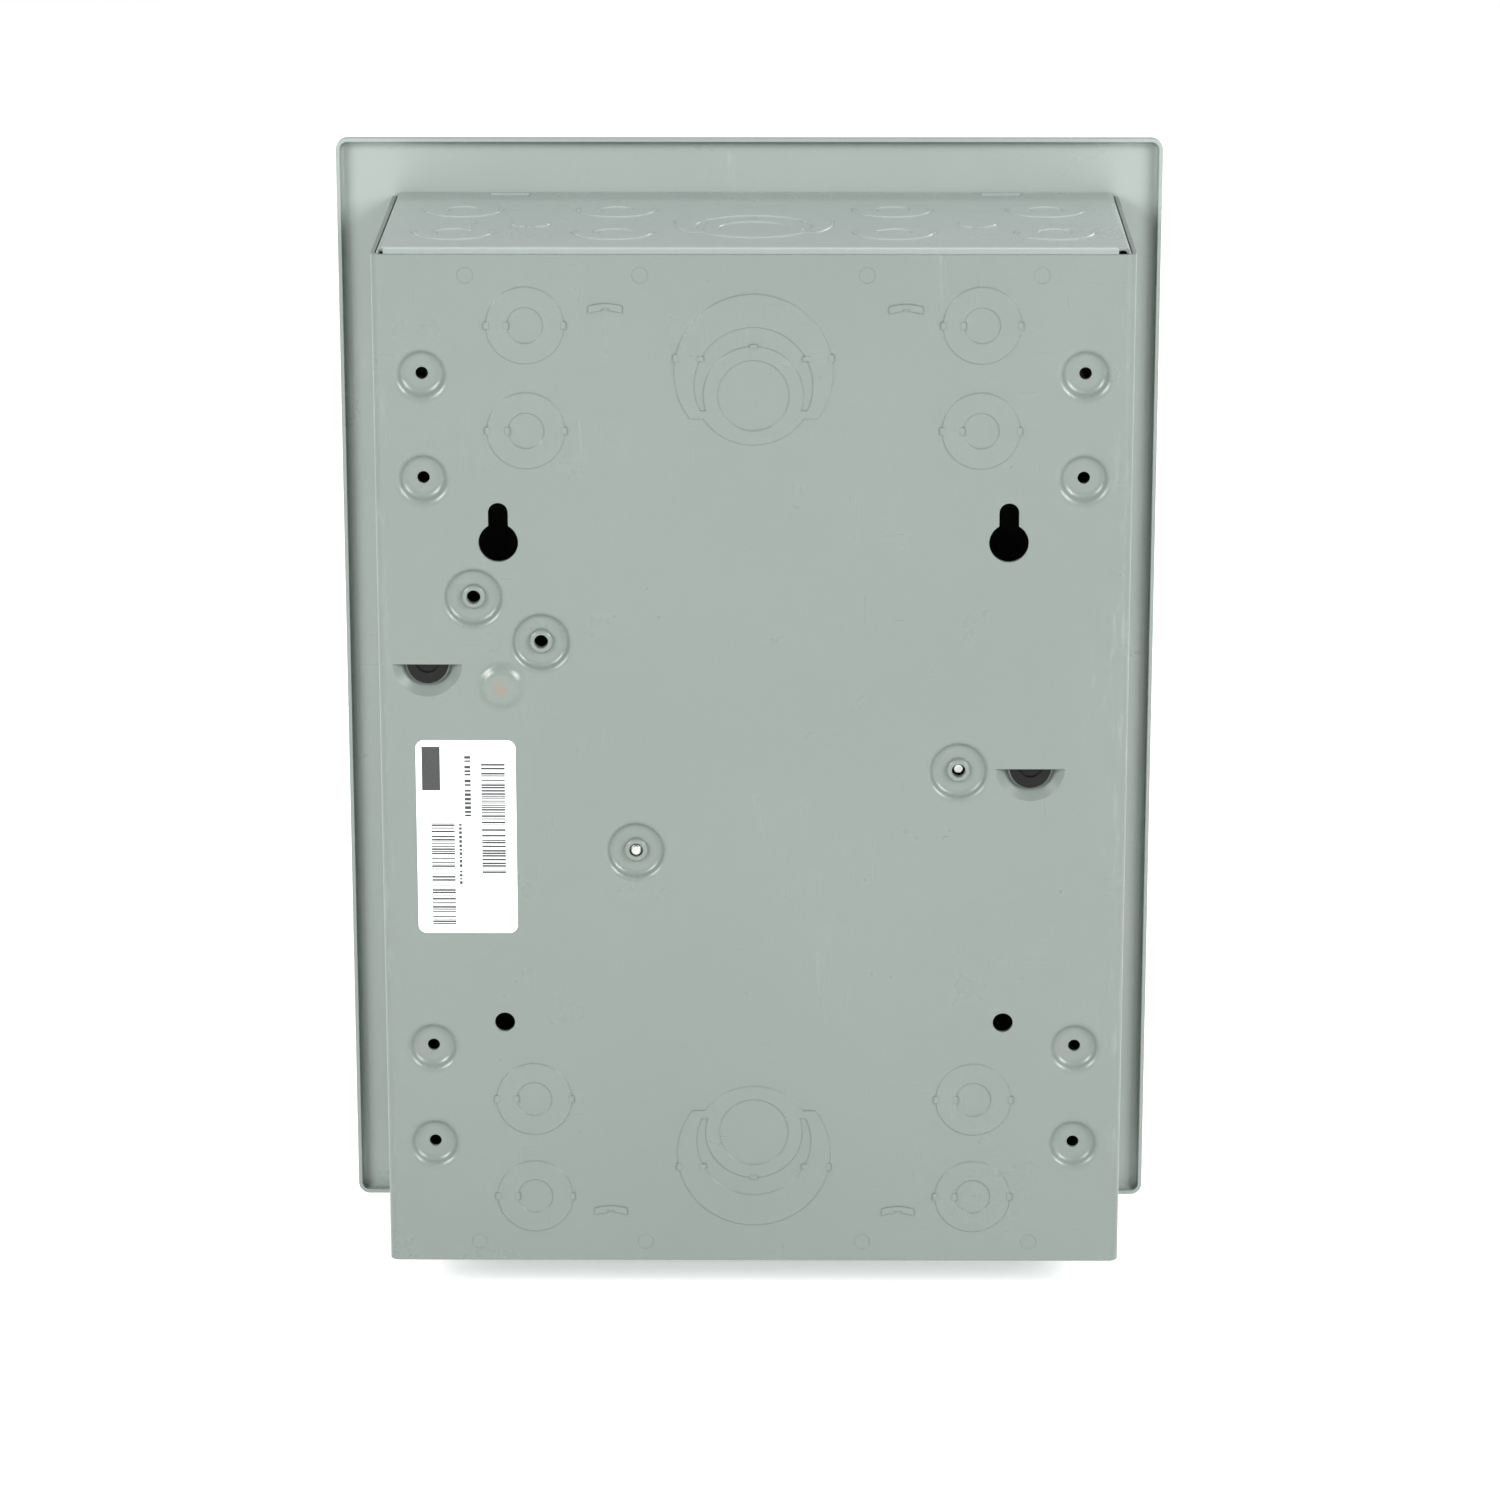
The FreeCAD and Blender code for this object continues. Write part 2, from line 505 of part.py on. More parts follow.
def forming_screw(x, z, seat, head_r, head_h, core_r, crest_r, tip):
    """Thread-forming screw whose threaded end is a stack of sharp ridges with a flat dog point."""
    pitch = 0.8
    outline = [Vector(0, 0, 0), Vector(core_r * 0.8, 0, 0), Vector(core_r * 0.8, 0, 0.5)]
    turns = 7
    for turn in range(turns):
        level = 0.7 + turn * pitch
        outline += [Vector(core_r, 0, level), Vector(crest_r, 0, level + pitch / 2)]
    level = 0.7 + turns * pitch
    outline += [Vector(core_r, 0, level), Vector(core_r, 0, seat - tip), Vector(0, 0, seat - tip), Vector(0, 0, 0)]
    shank = Part.Face(Part.makePolygon(outline)).revolve(Vector(0, 0, 0), Vector(0, 0, 1), 360)
    shank = shank.transformed(Matrix(1, 0, 0, x, 0, 0, -1, -tip, 0, 1, 0, z, 0, 0, 0, 1))
    head = Part.makeCylinder(head_r, head_h, Vector(x, -seat, z), DEPTH_AXIS)
    slot = block(x - head_r - 1, x + head_r + 1, seat + head_h * 0.5, seat + head_h + 1, z - 0.5, z + 0.5)
    return solid(head.cut(slot).fuse(shank))


# ---- interior --------------------------------------------------------------------------------------------------------
BASE_OUTLINE = ((-104, -62), (-79, -62), (-79, -67), (79, -67), (79, 18), (107, 18), (107, 46), (79, 46), (79, 42),
                (40, 42), (40, 94), (-40, 94), (-40, 42), (-79, 42), (-79, 56), (-104, 56))
SKIRT_WALL = 2.4
FOOT_LIP = -2.95                # back of a foot's hooked lip
PEDESTALS = ((46.0, 49.0), (67.0, 70.0))
RAIL_X0, RAIL_X1 = 76.6, 79.0
PEDESTAL_TOP = 43.9
HOOK_TOP = 52.0
SUPPORT_FRONT = 34.0
SUPPORT_PIN_X = 58.0
SUPPORT_PIN_Z = (-50.0, 28.0)
LUG_Z0, LUG_Z1 = 62.0, 86.0
LUG_TOP = 61.0
NEUTRAL_X0, NEUTRAL_X1 = -98.0, -87.0
NEUTRAL_Z0, NEUTRAL_Z1 = -58.0, 30.0
NEUTRAL_SCREWS = 8
BUS_SCREW_Z = (-57.0, 46.0)
LUG_SCREW_Z = 56.0


def foot(x, z):
    """Foot that passes through a half-moon slot and hooks behind its edges."""
    lip = half_moon_prism(6.3, 6.2, FOOT_LIP, -1.3)
    lip = lip.fuse(Part.makeBox(11.0, 2.6, -1.3 - FOOT_LIP, Vector(-5.5, 0, FOOT_LIP)))
    pocket = half_moon_prism(3.8, 2.9, -2.1, 0)
    neck = half_moon_prism(4.3, 4.4, -BASE_BACK - 1, FOOT_LIP)
    return on_back(lip.cut(pocket).fuse(neck), x, z)


def interior_base():
    outer = plate(BASE_OUTLINE, BASE_BACK, DECK_FRONT)
    wire = rounded_wire(BASE_OUTLINE, lambda p: Vector(p.x, -BASE_BACK + 1, p.y))
    hollow = Part.Face(wire).makeOffset2D(-SKIRT_WALL).extrude(Vector(0, BASE_BACK - 1 - DECK_BACK, 0))
    base = outer.cut(hollow)
    adds = [block(x - 1, x + 1, BASE_BACK + 3, DECK_BACK, -66, 41) for x in (-50, 0, 50)]
    adds += [block(-78, 78, BASE_BACK + 3, DECK_BACK, z - 1, z + 1) for z in (-40, 12)]
    adds += [block(-39, 39, BASE_BACK + 3, DECK_BACK, 66, 68)]
    seat = COLLAR_DEPTH + SHEET
    adds.append(peg(FIXING_X, FIXING_Z, 5.8, seat, DECK_BACK))
    for x, z in LANCES:
        adds += [block(x - 6, x + 6, BASE_BACK - 2, DECK_BACK, z - 9, z + 3), foot(x, z)]
    for z in (-54.0, 26.0):
        adds.append(block(NEUTRAL_X0, NEUTRAL_X1, DECK_FRONT, DECK_FRONT + 2, z - 4, z + 4))
    base = base.fuse(adds)
    cuts = [peg(FIXING_X, FIXING_Z, 2.3, 0, 40), peg(BOND_X, BOND_Z, 2.6, 0, 60)]
    for side in (-1, 1):
        cuts += [peg(bus_x(side), z, 2.05, 20, 40) for z in BUS_SCREW_Z + (LUG_SCREW_Z,)]
        cuts += [peg(side * SUPPORT_PIN_X, z, 2.05, 20, 40) for z in SUPPORT_PIN_Z]
    cuts += [peg((NEUTRAL_X0 + NEUTRAL_X1) / 2, z, 2.05, 20, 40) for z in (-54.0, 26.0)]
    return solid(base.cut(cuts))


def breaker_support(side):
    """Moulded strip on the deck that carries the outer ends of one column of breakers and hooks over them."""
    foot_x = sorted((side * PEDESTALS[0][0], side * RAIL_X1))
    support = block(*foot_x, DECK_FRONT, SUPPORT_FRONT, row_z(ROWS - 1) - PITCH / 2, FIELD_TOP)
    adds = [peg(side * SUPPORT_PIN_X, z, 2.0, DECK_BACK - 2, DECK_FRONT) for z in SUPPORT_PIN_Z]
    for a0, a1 in PEDESTALS:
        adds.append(block(*sorted((side * a0, side * a1)), DECK_FRONT, PEDESTAL_TOP, row_z(ROWS - 1) - PITCH / 2,
                          FIELD_TOP))
    for row in range(ROWS):
        z0, z1 = row_z(row) - 8, row_z(row) + 8
        adds.append(block(*sorted((side * RAIL_X0, side * RAIL_X1)), DECK_FRONT, HOOK_TOP, z0, z1))
        adds.append(block(*sorted((side * 71.6, side * RAIL_X1)), 48.2, HOOK_TOP, z0, z1))
    support = support.fuse(adds)
    if side < 0:
        support = support.cut([block(NEUTRAL_X1, -55, SUPPORT_FRONT, STRAP_FRONT + 0.3, -6.4, 6.4),
                               peg(BOND_X, BOND_Z, 2.6, 0, 60)])
    return solid(support)


def line_bus(side):
    """Bus bar with arms and upright plug-on stabs for every other row."""
    x0, x1 = sorted((side * BUS_X0, side * BUS_X1))
    front = DECK_FRONT + BUS_T
    bar = block(x0, x1, DECK_FRONT, front, -62, 90)
    first = 0 if side < 0 else 1
    for row in range(first, ROWS, 2):
        z = row_z(row)
        ax0, ax1 = sorted((side * BUS_X0, -side * 14.5))
        bar = bar.fuse(block(ax0, ax1, DECK_FRONT, front, z - 7, z + 7))
        stab = strip([(front, z - 1.5), (STAB_TOP, z - 1.5, 1.2), (STAB_TOP, z + 1.5, 1.2), (front, z + 1.5)],
                     -14.5, 14.5)
        bar = bar.fuse(stab)
    holes = [peg((x0 + x1) / 2, z, 2.05, 20, 40) for z in BUS_SCREW_Z + (LUG_SCREW_Z,)]
    return solid(bar.cut(holes))


def wire_lug(x, z0, z1, seat, wire_r):
    """Aluminium lug: wire bore along Z, set screw from the front, and a tongue with its fixing hole."""
    body = plate(rectangle(x - 10, x + 10, z0, z1, 1.5), seat, LUG_TOP)
    bore = bar_z(x, seat + 3.5 + wire_r, wire_r, z0 - 1, z1 + 1)
    thread = peg(x, (z0 + z1) / 2, 4.9, seat + 4 + wire_r, LUG_TOP + 1)
    tongue = plate(rectangle(x - 6, x + 6, z0 - 12, z0 + 2, 1.0), seat, seat + BUS_T)
    lug = body.fuse(tongue).cut([bore, thread, peg(x, z0 - 6, 2.05, seat - 1, seat + 6)])
    return solid(lug)


def set_screw(x, z):
    """Headless slotted set screw of a lug, with a rounded nose."""
    screw = peg(x, z, 4.8, LUG_TOP - 12, LUG_TOP - 0.8)
    screw = screw.cut(block(x - 6, x + 6, LUG_TOP - 2.6, LUG_TOP + 1, z - 0.8, z + 0.8))
    return solid(screw)


def bus_x(side):
    return side * (BUS_X0 + BUS_X1) / 2


NEUTRAL_MID = (NEUTRAL_X0 + NEUTRAL_X1) / 2
STRAP_FRONT = SUPPORT_FRONT + 2


def neutral_strap():
    """Flat copper strip under the neutral bar, with an arm to the bonding screw."""
    back = SUPPORT_FRONT
    spine = block(NEUTRAL_X0, NEUTRAL_X1, back, STRAP_FRONT, NEUTRAL_Z0, 54)
    arm = plate([(NEUTRAL_X1 - 1, -6), (-58, -6, 3), (-58, 6, 3), (NEUTRAL_X1 - 1, 6)], back, STRAP_FRONT)
    strap = spine.fuse(arm)
    holes = [peg(NEUTRAL_MID, z, 2.05, 20, 40) for z in (-54.0, 26.0)]
    holes += [peg(BOND_X, BOND_Z, 2.15, 20, 40)]
    return solid(strap.cut(holes))


def neutral_wire_z():
    """Heights of the wire holes in the neutral bar."""
    step = 9.2
    return [-45.0 + step * i for i in range(NEUTRAL_SCREWS)]


def neutral_bar():
    bar = plate(rectangle(NEUTRAL_X0, NEUTRAL_X1, NEUTRAL_Z0, NEUTRAL_Z1, 0.8), STRAP_FRONT, STRAP_FRONT + 11)
    cuts = [peg(NEUTRAL_MID, z, 2.05, 20, 60) for z in (-54.0, 26.0)]
    for z in neutral_wire_z():
        cuts.append(bar_x(STRAP_FRONT + 5, z, 2.5, NEUTRAL_X0 - 1, NEUTRAL_X1 + 1))
        cuts.append(peg(NEUTRAL_MID, z, 2.25, STRAP_FRONT + 5, STRAP_FRONT + 12))
    return solid(bar.cut(cuts))


def neutral_lug():
    """Large neutral lug, screwed to the top of the strap."""
    body = plate(rectangle(NEUTRAL_X0 - 3, NEUTRAL_X1 + 3, 36, 56, 1.5), STRAP_FRONT, STRAP_FRONT + 20)
    wire = bar_z(NEUTRAL_MID, STRAP_FRONT + 9.5, 5.5, 30, 60)
    thread = peg(NEUTRAL_MID, 46, 4.9, STRAP_FRONT + 10, STRAP_FRONT + 21)
    return solid(body.cut([wire, thread]))


def neutral_set_screw():
    top = STRAP_FRONT + 20
    screw = peg(NEUTRAL_MID, 46, 4.8, top - 6.5, top - 0.6)
    return solid(screw.cut(block(NEUTRAL_MID - 6, NEUTRAL_MID + 6, top - 2.4, top + 1, 45.2, 46.8)))


def terminal_screw(x, z, seat, length):
    """Short slotted screw of the neutral bar, headless end down."""
    return pan_screw(x, z, seat, 2.9, 2.0, 2.15, seat - length)


# ---- one breaker pole, built at x > 0 and z = 0, then moved to its place ---------------------------------------------
CASE_OUTLINE = [(3, 44, 1), (75, 44, 1), (75, 47.5), (71, 47.5), (71, 52.5), (76, 52.5, 0.5), (76, 79, 1.5),
                (69, 84, 2), (NOSE_A1, 84), (NOSE_A1, NOSE_TOP, 1.5), (NOSE_A0, NOSE_TOP, 1.5), (NOSE_A0, 84),
                (7, 84, 2), (3, 80, 1.5)]


def place_pole(shape, side, row):
    """Move a pole's piece from the template position to its space."""
    piece = shape.copy()
    if side < 0:
        piece = mirror_x(piece)
    piece.translate(Vector(0, 0, row_z(row)))
    return piece


def turned(shape, a, depth, angle):
    """Turn a piece about the axis along Z through (a, depth)."""
    piece = shape.copy()
    piece.rotate(Vector(a, -depth, 0), Vector(0, 0, 1), angle)
    return piece


def case_half(half):
    """One moulded half of a pole's case; half is -1 for the lower and 1 for the upper one."""
    w0, w1 = sorted((0, half * POLE_W / 2))
    shell = slab(CASE_OUTLINE, w0, w1)
    wire = rounded_wire(CASE_OUTLINE, lambda p: Vector(p.x, -p.y, 0))
    cavity = Part.Face(wire).makeOffset2D(-POLE_WALL)
    deep = half * (POLE_W / 2 - POLE_WALL)
    shell = shell.cut(cavity.extrude(Vector(0, 0, deep)))

    def inward(radius, a, depth, reach):
        """Boss on the case wall that ends at reach from the middle plane."""
        z0, z1 = sorted((half * reach, half * (POLE_W / 2 - 1)))
        return bar_z(a, depth, radius, z0, z1)

    adds = [inward(3.0, a, depth, 0.0) for a, depth in RIVETS]
    adds += [inward(3.6, HANDLE_A, HANDLE_D, 6.0), inward(3.2, ARM_A, ARM_D, 5.0)]
    z0, z1 = sorted((half * 2.5, half * (POLE_W / 2 - 1)))
    adds.append(block(20, 22, 45, 58, z0, z1))
    shell = shell.fuse(adds)
    pin_end = POLE_W / 2 - 1.1
    face = POLE_W / 2
    cuts = [bar_z(a, depth, 1.6, -face - 1, face + 1) for a, depth in RIVETS]
    for a, depth in RIVETS:
        r0, r1 = sorted((half * (face - RIVET_SINK), half * (face + 1)))
        cuts.append(bar_z(a, depth, 2.7, r0, r1))
    cuts += [bar_z(HANDLE_A, HANDLE_D, 2.0 + PIN_FIT, -pin_end, pin_end),
             bar_z(ARM_A, ARM_D, 1.5 + PIN_FIT, -pin_end, pin_end)]
    cuts.append(block(0, 16, 40, 56, -2.0, 2.0))
    cuts.append(block(HANDLE_A - 7.6, HANDLE_A + 7.6, NOSE_TOP - 4, NOSE_TOP + 1, -5.7, 5.7))
    cuts.append(peg(66.5, 0, 4.0, 79, 90))
    cuts.append(bar_x(64.5, 0, 3.2, 70, 80))
    return solid(shell.cut(cuts))


def handle():
    """Toggle handle: a half-round drum that fills the slot, a lever and two trunnions."""
    drum = bar_z(HANDLE_A, HANDLE_D, HANDLE_R, -5.3, 5.3)
    drum = drum.cut(block(HANDLE_A - 20, HANDLE_A + 20, HANDLE_D - 20, HANDLE_D, -6, 6))
    hub = bar_z(HANDLE_A, HANDLE_D, 4.5, -5.3, 5.3)
    pin = bar_z(HANDLE_A, HANDLE_D, 2.0, -11.2, 11.2)
    lever = slab([(HANDLE_A - 2.6, HANDLE_D + 8), (HANDLE_A - 2.1, HANDLE_D + 22.5, 1.7),
                  (HANDLE_A + 2.1, HANDLE_D + 22.5, 1.7), (HANDLE_A + 2.6, HANDLE_D + 8)], -5.0, 5.0)
    toggle = drum.fuse([hub, pin, lever])
    return solid(turned(toggle, HANDLE_A, HANDLE_D, HANDLE_REST))


def contact_arm():
    """Moving contact arm, lifted off its contact."""
    tip_a, tip_d = 18.0, 66.0
    hub = bar_z(ARM_A, ARM_D, 4.0, -4.5, 4.5)
    pin = bar_z(ARM_A, ARM_D, 1.5, -11.2, 11.2)
    bar = slab([(ARM_A, ARM_D - 3), (ARM_A, ARM_D + 3), (tip_a - 2.5, tip_d + 2.2), (tip_a - 2.5, tip_d - 1.6)],
               -1.8, 1.8)
    pad = peg(tip_a, 0, 2.3, 62.4, tip_d + 0.5)
    return solid(turned(hub.fuse([pin, bar, pad]), ARM_A, ARM_D, ARM_REST))


def line_jaw():
    """Spring clip that grips the bus stab, with the fixed contact on top."""
    clip = block(6.5, 16, 46.6, 58, -2.35, 2.35).cut(block(6, 17, 46, 57.2, -1.55, 1.55))
    carrier = block(12, 22, 58, 60.7, -3, 3)
    pad = peg(18, 0, 2.5, 60.7, 62.2)
    return solid(clip.fuse([carrier, pad]))


def load_terminal():
    """Load terminal block with the bimetal strip on its foot."""
    body = block(61, 76 - POLE_WALL, 59, 70, -5, 5)
    foot_plate = block(53, 61.5, 59, 60.2, -4, 4)
    strip_plate = block(53, 54.2, 50, 70, -4, 4)
    part = body.fuse([foot_plate, strip_plate])
    return solid(part.cut([bar_x(64.5, 0, 2.7, 60, 75), peg(66.5, 0, 2.05, 64.5, 71)]))


def load_screw():
    return pan_screw(66.5, 0, 70, 3.6, 2.4, 2.0, 66.8)


def rivet(a, depth):
    seat = POLE_W / 2 - RIVET_SINK
    shank = bar_z(a, depth, 1.5, -seat - 0.3, seat + 0.3)
    heads = [bar_z(a, depth, 2.5, seat, seat + 0.6), bar_z(a, depth, 2.5, -seat - 0.6, -seat)]
    return solid(shank.fuse(heads))


def handle_tie():
    """Bar that fits over the levers of two poles a pitch apart, one above the other."""
    body = slab(rectangle(HANDLE_A - 4.2, HANDLE_A + 4.2, HANDLE_D + 16, HANDLE_D + 24.5, 1.2), -6.5, PITCH + 6.5)
    pockets = [block(HANDLE_A - 2.6, HANDLE_A + 2.6, HANDLE_D + 15, HANDLE_D + 22.6, w - 5.15, w + 5.15)
               for w in (0, PITCH)]
    body = body.cut(pockets + [block(HANDLE_A - 5, HANDLE_A + 5, HANDLE_D + 15, HANDLE_D + 19.5, 7.5, PITCH - 7.5)])
    return solid(turned(body, HANDLE_A, HANDLE_D, HANDLE_REST))


# ---- label -----------------------------------------------------------------------------------------------------------
def back_label():
    """Paper sticker on the back, beside the side wall."""
    return plate(rectangle(*LABEL_X, *LABEL_Z, 2.5), LABEL_SINK - LABEL_T, LABEL_SINK)


# ---- all nodes -------------------------------------------------------------------------------------------------------
def build_nodes():
    nodes = {"enclosure_wrapper": enclosure_wrapper()}
    top = end_wall()
    nodes["top_end_wall"] = top
    nodes["bottom_end_wall"] = top.mirror(Vector(0, 0, 0), Vector(0, 0, 1))
    nodes["flush_cover"] = flush_cover()
    cover_front = BOX_D + SHEET
    nodes["cover_screws"] = [pan_screw(side * COVER_SCREW_X, end * COVER_SCREW_Z, cover_front, 4.4, 2.6, 1.7, 86.0)
                             for side in (-1, 1) for end in (-1, 1)]
    nodes["back_label"] = back_label()
    nodes["interior_base"] = interior_base()
    nodes["interior_fixing_screw"] = forming_screw(FIXING_X, FIXING_Z, DECK_FRONT, 4.2, 2.4, 1.65, 1.98, 0.6)
    nodes["breaker_support_left"] = breaker_support(-1)
    nodes["breaker_support_right"] = breaker_support(1)
    nodes["line_bus_left"] = line_bus(-1)
    nodes["line_bus_right"] = line_bus(1)
    front = DECK_FRONT + BUS_T
    nodes["bus_screws"] = [pan_screw(bus_x(side), z, front, 3.8, 2.4, 1.95, 22.0)
                           for side in (-1, 1) for z in BUS_SCREW_Z]
    nodes["main_lug_left"] = wire_lug(bus_x(-1), LUG_Z0, LUG_Z1, front, 7.0)
    nodes["main_lug_right"] = wire_lug(bus_x(1), LUG_Z0, LUG_Z1, front, 7.0)
    nodes["lug_set_screws"] = [set_screw(bus_x(side), (LUG_Z0 + LUG_Z1) / 2) for side in (-1, 1)]
    nodes["lug_set_screws"].append(neutral_set_screw())
    nodes["lug_mounting_screws"] = [pan_screw(bus_x(side), LUG_SCREW_Z, front + BUS_T, 3.8, 2.4, 1.95, 22.0)
                                    for side in (-1, 1)]
    nodes["neutral_strap"] = neutral_strap()
    nodes["neutral_bar"] = neutral_bar()
    nodes["neutral_lug"] = neutral_lug()
    bar_front = STRAP_FRONT + 11
    nodes["neutral_terminal_screws"] = [terminal_screw(NEUTRAL_MID, z, bar_front, 3.5) for z in neutral_wire_z()]
    nodes["neutral_bar_screws"] = [pan_screw(NEUTRAL_MID, z, bar_front, 3.6, 2.2, 1.95, 22.0) for z in (-54.0, 26.0)]
    nodes["bonding_screw"] = forming_screw(BOND_X, BOND_Z, STRAP_FRONT, 4.0, 2.4, 1.65, 1.98, 3.0)
    for name, (side, row) in POLES.items():
        pieces = {"case_a": case_half(1), "case_b": case_half(-1), "handle": handle(), "contact_arm": contact_arm(),
                  "line_jaw": line_jaw(), "load_terminal": load_terminal()}
        for piece, shape in pieces.items():
            nodes[name + "_" + piece] = place_pole(shape, side, row)
    spots = list(POLES.values())
    nodes["terminal_screws"] = [place_pole(load_screw(), side, row) for side, row in spots]
    nodes["breaker_rivets"] = [place_pole(rivet(a, d), side, row) for side, row in spots for a, d in RIVETS]
    side, row = POLES["pole_2"]
    nodes["handle_tie"] = place_pole(handle_tie(), side, row)
    return nodes


def main():
    os.makedirs("parts", exist_ok=True)
    for name, shape in build_nodes().items():
        whole = Part.Compound(shape) if isinstance(shape, list) else shape
        if not whole.isValid():
            raise ValueError(name + " is not valid")
        whole.exportStep("parts/" + name + ".step")


main()
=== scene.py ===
import json
import math
import random

import bpy
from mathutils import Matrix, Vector


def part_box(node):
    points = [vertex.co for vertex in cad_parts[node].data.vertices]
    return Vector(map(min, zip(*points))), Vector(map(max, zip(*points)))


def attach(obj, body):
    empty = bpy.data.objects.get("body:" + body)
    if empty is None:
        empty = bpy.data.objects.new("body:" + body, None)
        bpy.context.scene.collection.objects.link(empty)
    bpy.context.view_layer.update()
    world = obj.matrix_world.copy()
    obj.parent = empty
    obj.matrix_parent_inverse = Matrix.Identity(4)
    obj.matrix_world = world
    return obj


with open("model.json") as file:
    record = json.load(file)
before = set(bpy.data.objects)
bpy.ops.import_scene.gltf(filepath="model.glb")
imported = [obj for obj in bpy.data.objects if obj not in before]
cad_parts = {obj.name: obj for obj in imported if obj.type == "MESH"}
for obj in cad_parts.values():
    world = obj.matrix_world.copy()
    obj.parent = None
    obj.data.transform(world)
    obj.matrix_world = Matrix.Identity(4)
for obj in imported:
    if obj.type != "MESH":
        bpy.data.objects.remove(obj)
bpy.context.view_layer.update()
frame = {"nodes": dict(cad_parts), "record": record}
nodes = frame["nodes"]
MM = 0.001
ROOT = "panel"


# ---- node graphs -----------------------------------------------------------------------------------------------------
class Graph:
    """A material with a Principled shader and short calls for the nodes that feed it."""

    def __init__(self, name, **sockets):
        self.material = bpy.data.materials.new(name)
        self.material.use_nodes = True
        self.tree = self.material.node_tree
        self.shader = self.tree.nodes["Principled BSDF"]
        for socket, value in sockets.items():
            self.shader.inputs[socket.replace("_", " ")].default_value = value
        self.place = self.tree.nodes.new("ShaderNodeTexCoord").outputs["Object"]

    def add(self, kind, inputs=(), **settings):
        """New node; inputs is a list of (socket name or number, value or output)."""
        node = self.tree.nodes.new("ShaderNode" + kind)
        for key, value in settings.items():
            setattr(node, key, value)
        for socket, value in inputs:
            if isinstance(value, bpy.types.NodeSocket):
                self.tree.links.new(value, node.inputs[socket])
            else:
                node.inputs[socket].default_value = value
        return node

    def stretched(self, scale, shift=(0, 0, 0)):
        return self.add("Mapping", [("Vector", self.place), ("Scale", scale), ("Location", shift)]).outputs[0]

    def noise(self, scale, detail=3.0, roughness=0.55, at=None, distortion=0.0):
        node = self.add("TexNoise", [("Vector", at or self.place), ("Scale", scale), ("Detail", detail),
                                     ("Roughness", roughness), ("Distortion", distortion)])
        return node.outputs["Fac"]

    def span(self, value, low, high, to_low=0.0, to_high=1.0):
        node = self.add("MapRange", [("Value", value), ("From Min", low), ("From Max", high), ("To Min", to_low),
                                     ("To Max", to_high)])
        return node.outputs[0]

    def math(self, operation, a, b=0.0):
        return self.add("Math", [(0, a), (1, b)], operation=operation).outputs[0]

    def near(self, value, level, reach):
        """1 where value is within reach of level, else 0."""
        output = self.math("COMPARE", value, level)
        output.node.inputs[2].default_value = reach
        return output

    def blend(self, factor, a, b):
        """Colour a turning into colour b; 0, 6, 7 and 2 are the Mix node's factor and colour sockets."""
        node = self.add("Mix", data_type="RGBA", blend_type="MIX")
        for index, value in ((0, factor), (6, a), (7, b)):
            if isinstance(value, bpy.types.NodeSocket):
                self.tree.links.new(value, node.inputs[index])
            else:
                node.inputs[index].default_value = value
        return node.outputs[2]

    def axis(self, name):
        return self.add("SeparateXYZ", [(0, self.place)]).outputs[name]

    def feed(self, socket, output):
        self.tree.links.new(output, self.shader.inputs[socket])

    def relief(self, layers, edge=0.0):
        """Bump layers (height, strength, distance), over edges rounded by radius edge."""
        normal = None
        if edge:
            normal = self.add("Bevel", [("Radius", edge)], samples=4).outputs[0]
        for height, strength, distance in layers:
            inputs = [("Height", height), ("Strength", strength), ("Distance", distance)]
            if normal is not None:
                inputs.append(("Normal", normal))
            normal = self.add("Bump", inputs).outputs[0]
        self.feed("Normal", normal)


def tint(red, green, blue):
    """Linear colour from 8-bit sRGB values."""
    def linear(channel):
        part = channel / 255
        return part / 12.92 if part <= 0.04045 else ((part + 0.055) / 1.055) ** 2.4
    return linear(red), linear(green), linear(blue), 1.0


def scaled(color, factor):
    return color[0] * factor, color[1] * factor, color[2] * factor, 1.0


# ---- materials -------------------------------------------------------------------------------------------------------
BOX_ENAMEL = tint(107, 116, 111)
# The box, its end walls and the cover wear one enamel. The end walls and the cover get lighter copies of it than the
# back: painted light that sets each face's brightness, not another paint.
ENDS_ENAMEL_PAINTED_LIGHTER = tint(140, 149, 146)
COVER_ENAMEL_PAINTED_LIGHTER = tint(140, 149, 144)
BURN_BROWN = tint(132, 104, 84)
WELD_MARK = (75.9 * MM, 1.5 * MM, 26.3 * MM)        # centre of the scorched spot on the back
BURN_OUTER, BURN_INNER = 0.0034, 0.0012             # where the scorch fades out and where it is full


